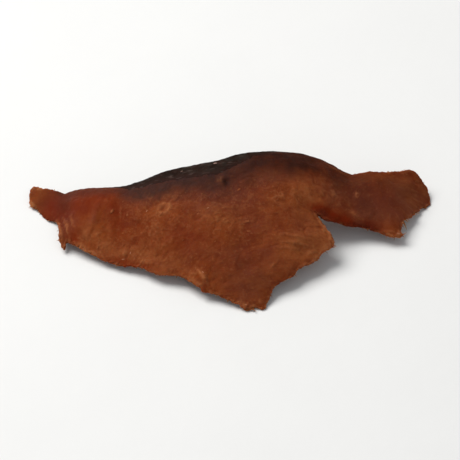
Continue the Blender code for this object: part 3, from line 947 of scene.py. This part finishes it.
class JERKY_OT_flesh(bpy.types.Operator):
    """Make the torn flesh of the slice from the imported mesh"""

    bl_idname = "jerky.flesh"
    bl_label = "Flesh"

    seed = 7
    # How often the mesh is smoothed after each split.
    smoothing = (2, 3)
    every_axis = dict.fromkeys(("use_axis_x", "use_axis_y", "use_axis_z"), True)
    # In millimetres: what lies lower than this stays flat, how wide a torn edge is, and the
    # width and height of the lip along it.
    resting_below = 0.5
    edge_width = 1.6
    lip_widths = (0.5, 1.6)
    lip_height = 0.10
    most_relief = 1.5

    def execute(self, context):
        look = context.scene.jerky_flesh
        noise.seed_set(self.seed)
        rim = Rim()
        bm = packed_copy()
        for times in self.smoothing[:look.passes]:
            bmesh.ops.subdivide_edges(bm, edges=bm.edges, cuts=1, use_grid_fill=True)
            for _ in range(times):
                bmesh.ops.smooth_vert(bm, verts=bm.verts, factor=0.5, **self.every_axis)
        bm.normal_update()
        self.keep_zones(bm, rim)
        self.relieve(bm, rim, look)
        finished(bm, FLESH, flesh_finish(look))
        return {"FINISHED"}

    @staticmethod
    def keep_zones(bm, rim):
        """Keeps on each vertex which zones it lies in and how near it is to the rim."""
        names = (*ZONES, "dusk", "browned", "skin", "to_rim", "fan")
        layers = dict(zip(names, number_layers(bm, *names)))
        nearest = bm.verts.layers.int.new("rim_point")
        fibres = bm.verts.layers.float_vector.new("fibres")
        fan_fibres = bm.verts.layers.float_vector.new("fan_fibres")
        for vert in bm.verts:
            x, y, z = vert.co
            top = vert.normal.z > 0
            to_skin = rim.to_skin(vert.co)
            vert[layers["to_rim"]], vert[nearest] = rim.near(vert.co)
            for name in ZONES:
                vert[layers[name]] = zone(name, x, y)
            skin = soft(skin_reach(x, y, top) - to_skin, -1.5, 0.8)
            dark = darkness(x, y, top, to_skin)
            vert[layers["skin"]] = skin
            vert[layers["dusk"]] = dark
            vert[layers["browned"]] = soft(x, *DUSK_FADES)
            vert[layers["grainy"]] *= 1 - 0.7 * skin
            vert[layers["amber"]] *= 1 - dark
            vert[fibres] = (*fibre_place(x, y), z)
            vert[fan_fibres] = (*fan_place(x, y), z)
            vert[layers["fan"]] = soft(x, *FAN_FROM)

    def relieve(self, bm, rim, look):
        """Raises flakes, fibres, grains, ridges and lips, and frays the torn edges."""
        held = bm.verts.layers.float
        smooth, grainy, lip, red = (held[name] for name in ("smooth", "grainy", "lip", "red"))
        skin, to_rim = held["skin"], held["to_rim"]
        relief, pale, crinkle = number_layers(bm, "relief", "pale", "crinkle")
        nearest = bm.verts.layers.int["rim_point"]
        flake, fibre, grain = look.flake_height / MM, look.fibre_height / MM, look.grain_height / MM
        thin, broad = self.lip_widths
        moves = []
        for vert in bm.verts:
            point, normal, distance = vert.co.copy(), vert.normal, vert[to_rim]
            x, y, z = point
            inner = soft(distance, 0.2, self.edge_width)
            calm = (1 - 0.65 * vert[smooth]) * (1 - 0.5 * vert[skin])

            swell, crease, pucker = flakes_at(point)
            strand = strands_at(x, y, z)
            grains = grains_at(point)
            height = flake * (swell - 0.7 * crease + 0.35 * pucker) * calm * inner
            height += fibre * strand * (1 - 0.5 * vert[smooth])
            height += grain * grains * (0.12 + 0.88 * vert[grainy]) * inner
            dried = 0.08 + 0.92 * vert[grainy]
            vert[crinkle] = crinkle_at(point, look.crinkle_size / MM) * dried
            height += look.crinkle_height / MM * vert[crinkle]
            ridge, light = ridge_at(x, y) if normal.z > 0 else (0.0, 0.0)
            wide = thin + (broad - thin) * vert[lip]
            wide *= 1 + 0.9 * noise_beside(point * 0.7, 8, 1, 4)
            lifted = soft(vert[lip], 0.05, 0.6) * soft(distance, wide, 0.35 * wide)
            lifted *= soft(noise.noise(point * 1.2), -0.7, 0.2)
            height += ridge + (self.lip_height * lifted if normal.z > 0 else 0.0)

            torn = soft(distance, 1.2, 0.0) * (1 - vert[skin])
            pinch = look.pinch / MM * soft(distance, self.edge_width, 0.1)
            move = normal * height
            move += rim.outward[vert[nearest]] * (look.fray / MM * fray_at(point) * torn)
            move.z -= normal.z * pinch * (0.4 + 0.6 * torn) * (1 - lifted)
            moves.append(move)

            raised = swell - crease + 0.5 * pucker + 0.6 * strand
            vert[relief] = max(-self.most_relief, min(self.most_relief, raised)) * calm
            # Pale torn edges, lips and ridges: dry flesh, and partly a painted rim highlight.
            edge = 0.6 * soft(distance, 0.7, 0.1) * (1 - vert[skin])
            edge *= soft(noise.noise(point * 0.7), -0.5, 0.3)
            speckle = 0.25 * vert[grainy] * soft(grains, 0.30, 0.85)
            whitest = min(1.0, max(0.8 * light, edge, speckle, lifted))
            vert[pale] = whitest * (1 - 0.85 * vert[red])
        for vert, move in zip(bm.verts, moves):
            vert.co += move * soft(vert.co.z, -0.2, self.resting_below)
        settle(bm.verts)


# ---------------------------------------------------------------- skin

def skin_finish(look):
    """Dried skin: charcoal with a blue grey sheen, thinning out to brown at its inner edge."""
    finish = Finish("dried_skin")
    place = finish.object_place()
    cloud = finish.noise(place, 420.0, 5.0, 0.6, 0.5)
    finish.base = finish.mix(finish.spread(cloud, 0.36, 0.64), look.deep, look.sheen)
    stain = finish.noise(place, 230.0, 5.0, 0.6, 0.8)
    finish.coat(look.warm, finish.spread(stain, 0.48, 0.64, 0.7))
    finish.coat(look.deep, finish.layer("left_end"))
    torn = finish.spread(finish.noise(place, 900.0, 4.0), 0.25, 0.65, at_low=0.6)
    see_through = finish.mix(finish.layer("browned"), look.faded, look.warm)
    finish.coat(see_through, finish.layer("thin"), torn)
    finish.coat(look.sheen, finish.spread(finish.layer("pocket"), 0.45, 1.0, 0.5))
    crease = finish.noise(finish.stretched(place, (0.25, 1.0, 1.0)), 1600.0, 3.0)
    finish.coat(look.glint, finish.spread(crease, 0.56, 0.68, 0.8))
    finish.set(
        Base_Color=finish.base,
        Roughness=finish.uneven(finish.noise(place, 800.0, 3.0), 0.30, 0.55),
        Normal=finish.bump(finish.noise(place, 3600.0, 3.0), 0.00004),
        Subsurface_Weight=0.1,
        Subsurface_Radius=(1.0, 0.4, 0.25),
        Subsurface_Scale=0.0006,
        Specular_IOR_Level=0.012,
    )
    return finish.material


class JERKY_OT_skin(bpy.types.Operator):
    """Make the band of skin along the back edge of the slice"""

    bl_idname = "jerky.skin"
    bl_label = "Skin"

    # Where the left end darkens along X, and how far in from its edge the skin stays thin.
    darkens_over = (-7.0, -14.0)
    thin_within = (2.0, 0.1)

    def execute(self, context):
        look = context.scene.jerky_skin
        rim = Rim()
        bm = opened(made_flesh())
        for layer in bm.verts.layers.float.values():
            bm.verts.layers.float.remove(layer)
        source = bm.verts.layers.int.new("source")
        inside = []
        for vert in bm.verts:
            vert[source] = vert.index
            x, y, _ = vert.co
            inside.append(skin_reach(x, y, vert.normal.z > 0) - rim.to_skin(vert.co))
        outside = [face for face in bm.faces if min(inside[v.index] for v in face.verts) < 0]
        bmesh.ops.delete(bm, geom=outside, context="FACES")
        bm.normal_update()
        thin, pocket, left_end, browned = number_layers(bm, "thin", "pocket", "left_end", "browned")
        size = look.scale_size / MM
        moves = []
        for vert in bm.verts:
            x, y, z = vert.co
            inner = inside[vert[source]]
            raised = self.scale_pocket(x / size, (y - z) / size)
            vert[thin] = soft(inner, *self.thin_within)
            vert[pocket] = raised
            vert[left_end] = 0.6 * soft(x, *self.darkens_over)
            vert[browned] = soft(x, *DUSK_FADES)
            lift = look.thickness / MM * (0.15 + 0.85 * soft(inner, 0.0, 1.2))
            lift += look.scale_height / MM * raised * soft(inner, 0.2, 1.5)
            moves.append(vert.normal * lift)
        for vert, move in zip(bm.verts, moves):
            vert.co += move
        settle(bm.verts)
        bmesh.ops.solidify(bm, geom=bm.faces[:], thickness=look.thickness / MM)
        finished(bm, SKIN, skin_finish(look))
        return {"FINISHED"}

    @staticmethod
    def scale_pocket(u, v):
        """Height of the overlapping scale pockets, rows apart by half a scale."""
        u += 0.16 * noise_at(u, v, 2, 1.3)
        v += 0.16 * noise_at(u, v, 6, 1.3)
        rows = v * 1.4
        row = round(rows)
        across = (u + 0.5 * (row % 2)) % 1.0 - 0.5
        along = rows - row
        return 1 - min(1.0, hypot(across * 1.7, along * 1.3))


# ---------------------------------------------------------------- frayed fibres

def fray_finish(look):
    """Torn fibres: the colour of the flesh at the root, dry and pale at the tip."""
    finish = Finish("frayed_fibre")
    finish.base = finish.mix(finish.layer("tip"), look.root, look.tip)
    finish.coat(look.root, finish.spread(finish.layer("shade"), 0.0, 1.0, 0.7))
    finish.set(
        Base_Color=finish.base,
        Roughness=finish.uneven(finish.noise(finish.object_place(), 1800.0, 2.0), 0.4, 0.6),
        Subsurface_Weight=0.4,
        Subsurface_Radius=(1.0, 0.4, 0.2),
        Subsurface_Scale=0.0006,
        Specular_IOR_Level=0.1,
    )
    return finish.material


def strand_mesh(segments, rings):
    """A closed strand along +X, one long and one across at its root, tapering to a tip."""
    bm = bmesh.new()
    bmesh.ops.create_cone(
        bm, cap_ends=True, segments=segments, radius1=0.5, radius2=0.10, depth=1.0
    )
    upright = [edge for edge in bm.edges if abs(edge.verts[0].co.z - edge.verts[1].co.z) > 0.5]
    bmesh.ops.subdivide_edges(bm, edges=upright, cuts=rings, use_grid_fill=True)
    turn = Matrix.Rotation(radians(90), 4, "Y") @ Matrix.Translation((0, 0, 0.5))
    bmesh.ops.transform(bm, matrix=turn, verts=bm.verts)
    return mesh_of(bm, "strand")


class JERKY_OT_fray(bpy.types.Operator):
    """Make the fibres that stand out of the torn edges"""

    bl_idname = "jerky.fray"
    bl_label = "Frayed Fibres"

    seed = 11
    sides, rings = 5, 3
    stout = 2.2
    buried = 0.35
    spike_height = 3.0

    def execute(self, context):
        look = context.scene.jerky_fray
        rim = Rim()
        draw = Random(self.seed)
        bm = bmesh.new()
        self.tip, self.shade = number_layers(bm, "tip", "shade")
        strand = strand_mesh(self.sides, self.rings)
        torn = [i for i in range(len(rim.points)) if not rim.is_skin(i)]
        for _ in range(look.tries):
            index = draw.choice(torn)
            if noise.noise(rim.points[index] * 0.35) < draw.uniform(-0.6, 0.3):
                continue
            reach = draw.uniform(look.shortest, look.longest) / MM * draw.uniform(0.5, 1.0)
            turn = draw.gauss(0, 0.7)
            wide = draw.uniform(0.5, 1.2) * draw.choice((1, 1, 1.8))
            way = Matrix.Rotation(turn, 3, "Z") @ rim.outward[index]
            self.lay(bm, strand, rim.points[index], way, reach, wide, look, draw)
        for (x, y), turn, reach in SPIKES.values():
            _, index, _ = rim.tree.find(Vector((x, y, self.spike_height)))
            way = Vector((cos(radians(turn)), sin(radians(turn)), 0))
            self.lay(bm, strand, rim.points[index], way, reach, self.stout, look, draw)
        bpy.data.meshes.remove(strand)
        finished(bm, FRAY, fray_finish(look))
        return {"FINISHED"}

    def lay(self, bm, strand, root, way, reach, wide, look, draw):
        """Puts one bent fibre at the root, pointing along way."""
        added = added_copy(bm, strand)
        wide *= look.thickness / MM
        flat = look.thickness / MM * draw.uniform(0.35, 0.6)
        rise = draw.gauss(-0.1, 0.35)
        place = way.to_track_quat("X", "Z").to_matrix().to_4x4()
        place.translation = root - way * self.buried + Vector((0, 0, draw.uniform(-0.15, 0.15)))
        long = reach + self.buried
        curl, sway = draw.gauss(0, 0.35), draw.gauss(0, 0.35)
        shade = draw.random()
        for vert in added:
            along = vert.co.x
            vert[self.tip] = soft(along, 0.25, 0.9)
            vert[self.shade] = shade
            bend = along * along * long
            aside = vert.co.y * wide + sway * bend
            above = vert.co.z * flat + (rise + curl * along) * bend
            vert.co = Vector((along * long, aside, above))
        bmesh.ops.transform(bm, matrix=place, verts=added)
        settle(added)


# ---------------------------------------------------------------- pale peels

def peel_finish(look):
    """Dry peels and specks: tan, and white on a few, the white partly a painted glint."""
    finish = Finish("dry_peel")
    mottle = finish.noise(finish.object_place(), 2500.0, 3.0)
    finish.base = finish.mix(finish.spread(mottle, 0.35, 0.7, 0.15), look.colour, look.white)
    finish.coat(look.white, finish.layer("white"), finish.spread(mottle, 0.3, 0.6, at_low=0.6))
    # Painted glint on the flecks that lie on the skin.
    finish.coat(look.dust, finish.layer("on_skin"))
    finish.set(
        Base_Color=finish.base,
        Roughness=finish.uneven(mottle, 0.35, 0.6),
        Specular_IOR_Level=0.03,
    )
    return finish.material


class JERKY_OT_peels(bpy.types.Operator):
    """Make the small dry peels and specks on the cut faces"""

    bl_idname = "jerky.peels"
    bl_label = "Pale Peels"

    seed = 23
    above_skin = 0.15
    # A random place in the slice's box counts when the surface is this near. On smooth flesh
    # only this share of the peels is kept, and below the skin the fewer the darker it is.
    drawn_within = 0.8 * MM
    kept_on_smooth = 0.10
    kept_on_dark = 0.6

    def execute(self, context):
        look = context.scene.jerky_peels
        flesh = made_flesh()
        draw = Random(self.seed)
        grainy, skin, dusk = (flesh.attributes[name].data for name in ("grainy", "skin", "dusk"))
        verts = flesh.vertices
        bm = bmesh.new()
        self.white, self.on_skin = number_layers(bm, "white", "on_skin")
        flake = self.flake_mesh()
        near = tree_of((vert.co, vert.index) for vert in verts)
        tops = [vert for vert in verts if vert.normal.z > 0]
        from_above = tree_of(((vert.co.x, vert.co.y, 0), vert.index) for vert in tops)
        made = 0
        while made < look.number:
            _, index, distance = near.find([draw.uniform(low, high) for low, high in zip(*CAD_BOX)])
            if distance > self.drawn_within:
                continue
            dried = grainy[index].value
            if draw.random() > self.kept_on_smooth + (1 - self.kept_on_smooth) * dried:
                continue
            if max(skin[index].value, dusk[index].value) > self.kept_on_dark * draw.random():
                continue
            vert = verts[index]
            size = look.shortest + (look.longest - look.shortest) * draw.random() ** 3
            turn = fibre_turn(vert.co.x / MM, vert.co.y / MM) + draw.gauss(0, 0.5)
            self.lay(bm, flake, vert, size / MM, turn, False, False, draw)
            made += 1
        for (x, y), long, turn in GLINTS.values():
            _, index, _ = from_above.find((x * MM, y * MM, 0))
            on_skin = skin[index].value > 0.5
            self.lay(bm, flake, verts[index], long, radians(turn), True, on_skin, draw)
        bpy.data.meshes.remove(flake)
        finished(bm, PEELS, peel_finish(look))
        return {"FINISHED"}

    @staticmethod
    def flake_mesh():
        """A small lens, one long, with a ragged outline."""
        bm = bmesh.new()
        bmesh.ops.create_icosphere(bm, subdivisions=2, radius=0.5)
        for vert in bm.verts:
            vert.co *= 1 + 0.7 * noise_beside(vert.co * 3.0, 2, 5, 1)
        return mesh_of(bm, "flake")

    def lay(self, bm, flake, vert, long, turn, white, on_skin, draw):
        """Puts one peel flat on the surface at a vertex of the flesh."""
        added = added_copy(bm, flake)
        normal = vert.normal
        heading = Vector((cos(turn), sin(turn), 0))
        heading = (heading - normal * heading.dot(normal)).normalized()
        place = Matrix((heading, normal.cross(heading), normal)).transposed().to_4x4()
        place.translation = vert.co / MM + normal * self.above_skin * on_skin
        tilt = Matrix.Rotation(draw.gauss(0, 0.05), 4, "Y")
        side_up = Matrix.Rotation(draw.choice((0, pi)), 4, "X")
        size = Matrix.Diagonal((long, long * draw.uniform(0.25, 0.55), draw.uniform(0.04, 0.07), 1))
        bmesh.ops.transform(bm, matrix=place @ (tilt @ side_up) @ size, verts=added)
        for vert in added:
            vert[self.white], vert[self.on_skin] = white, on_skin
        settle(added)


# ---------------------------------------------------------------- stage

class JERKY_OT_stage(bpy.types.Operator):
    """Make the floor, the lights and the camera"""

    bl_idname = "jerky.stage"
    bl_label = "Stage"

    aim = Vector((0.0, -0.00088, 0.006))
    image_side = 460
    focal_pixels = 2690.0
    sensor = 36.0
    key = {"place": (-0.42, 0.26, 0.70), "size": 0.6, "tint": (1.0, 0.99, 0.97)}
    fill = {"place": (0.30, -0.70, 0.55), "size": 0.8, "tint": (0.97, 0.98, 1.0)}
    room_tint = (0.95, 0.97, 1.0)

    def execute(self, context):
        look = context.scene.jerky_stage
        self.floor(look)
        self.light("key", look.key_power, **self.key)
        self.light("fill", look.fill_power, **self.fill)
        world = bpy.data.worlds.new("pale_room")
        world.use_nodes = True
        background = world.node_tree.nodes["Background"].inputs
        background["Color"].default_value = (*self.room_tint, 1)
        background["Strength"].default_value = look.world
        context.scene.world = world
        self.camera(look)
        context.scene.view_settings.view_transform = "Standard"
        return {"FINISHED"}

    @staticmethod
    def floor(look):
        bm = bmesh.new()
        bmesh.ops.create_circle(bm, cap_ends=True, segments=96, radius=look.floor_radius)
        mesh = mesh_of(bm, "floor")
        finish = Finish("pale_floor")
        place = finish.object_place()
        clouded = finish.spread(finish.noise(place, 30.0, 4.0), 0.3, 0.7, 0.04)
        finish.set(
            Base_Color=finish.mix(clouded, look.floor, (0.5, 0.5, 0.5)),
            Roughness=0.7,
            Normal=finish.bump(finish.noise(place, 260.0, 5.0), 0.0002, 0.25),
        )
        mesh.materials.append(finish.material)
        floor = placed("floor", mesh)

    @staticmethod
    def light(name, watts, place, size, tint):
        lamp = bpy.data.lights.new(name, "AREA")
        lamp.shape = "SQUARE"
        lamp.size = size
        lamp.energy = watts
        lamp.color = tint
        held = placed(name, lamp)
        held.location = place
        held.rotation_euler = (-Vector(place)).to_track_quat("-Z", "Y").to_euler()

    def camera(self, look):
        lens = bpy.data.cameras.new("camera")
        lens.sensor_width = self.sensor
        lens.lens = self.sensor * self.focal_pixels / self.image_side
        lens.clip_start = 0.01
        back = Vector((0, -cos(look.elevation), sin(look.elevation)))
        held = placed("camera", lens)
        held.location = self.aim + back * look.distance
        held.rotation_euler = back.to_track_quat("Z", "Y").to_euler()
        bpy.context.scene.camera = held


# ---------------------------------------------------------------- panel and registration

class JERKY_PT_sidebar(bpy.types.Panel):
    """Lists the pieces of the slice"""

    bl_idname = "JERKY_PT_sidebar"
    bl_label = "Dried Salmon Slice"
    bl_space_type = "VIEW_3D"
    bl_region_type = "UI"
    bl_category = "Jerky"

    def draw(self, context):
        for _, settings, operator in PIECES:
            box = self.layout.box()
            box.operator(operator.bl_idname)
            group = getattr(context.scene, settings)
            for name in group.__annotations__:
                box.prop(group, name)


PIECES = (
    (FleshSettings, "jerky_flesh", JERKY_OT_flesh),
    (SkinSettings, "jerky_skin", JERKY_OT_skin),
    (FraySettings, "jerky_fray", JERKY_OT_fray),
    (PeelSettings, "jerky_peels", JERKY_OT_peels),
    (StageSettings, "jerky_stage", JERKY_OT_stage),
)


def register():
    for settings, name, operator in PIECES:
        bpy.utils.register_class(settings)
        bpy.utils.register_class(operator)
        setattr(bpy.types.Scene, name, PointerProperty(type=settings))
    bpy.utils.register_class(JERKY_PT_sidebar)


def unregister():
    bpy.utils.unregister_class(JERKY_PT_sidebar)
    for settings, name, operator in reversed(PIECES):
        delattr(bpy.types.Scene, name)
        bpy.utils.unregister_class(operator)
        bpy.utils.unregister_class(settings)


def main():
    register()
    bpy.ops.jerky.stage()
    bpy.ops.jerky.flesh()
    bpy.ops.jerky.skin()
    bpy.ops.jerky.fray()
    bpy.ops.jerky.peels()


if __name__ == "__main__":
    main()
